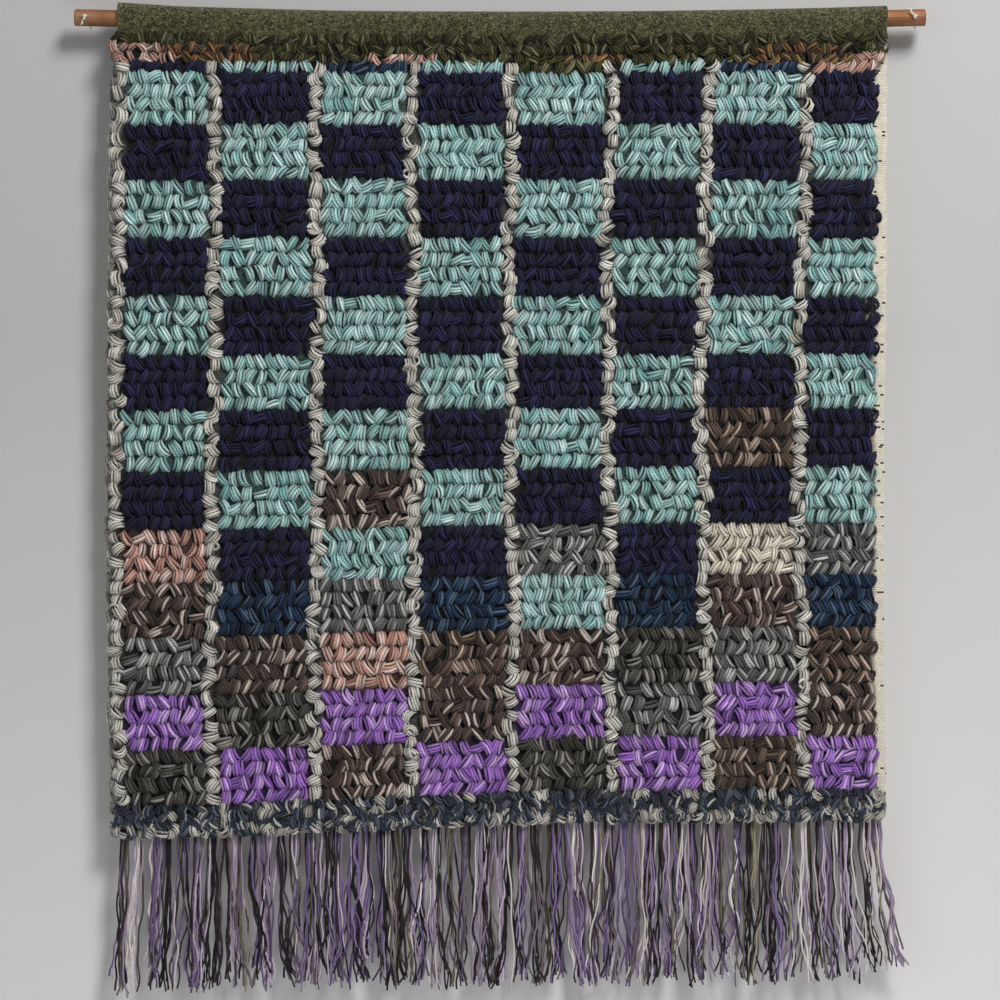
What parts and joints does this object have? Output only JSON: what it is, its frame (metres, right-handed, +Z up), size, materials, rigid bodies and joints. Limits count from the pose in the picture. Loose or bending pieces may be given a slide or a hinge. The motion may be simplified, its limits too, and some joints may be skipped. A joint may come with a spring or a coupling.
{
  "type": "shag tapestry on a hanging rod",
  "caption": "Loop-pile wall tapestry with a checked front and a long yarn fringe, hung by its turned-over top from a round copper rod.",
  "frame": {"origin": "midway between the centres of the rod's two ends, where the rod is held", "axes": "+X to the viewer's right along the rod, +Y away from the viewer towards the wall, +Z up"},
  "size_m": [0.7954, 0.0317, 0.9232],
  "materials": {
    "copper": "brushed bare copper, a little tarnished",
    "line": "whitish twisted hanging line",
    "pile": "matte wool loop pile in blocks of several yarns, with a plain olive sleeve",
    "fringe": "loose plied wool strands, lilac, cream, grey and near black"
  },
  "bodies": {
    "root": {"hanging_rod": "copper", "line_knot_left": "line", "line_knot_right": "line", "shag_panel": "pile", "fringe": "fringe"}
  },
  "joints": []
}
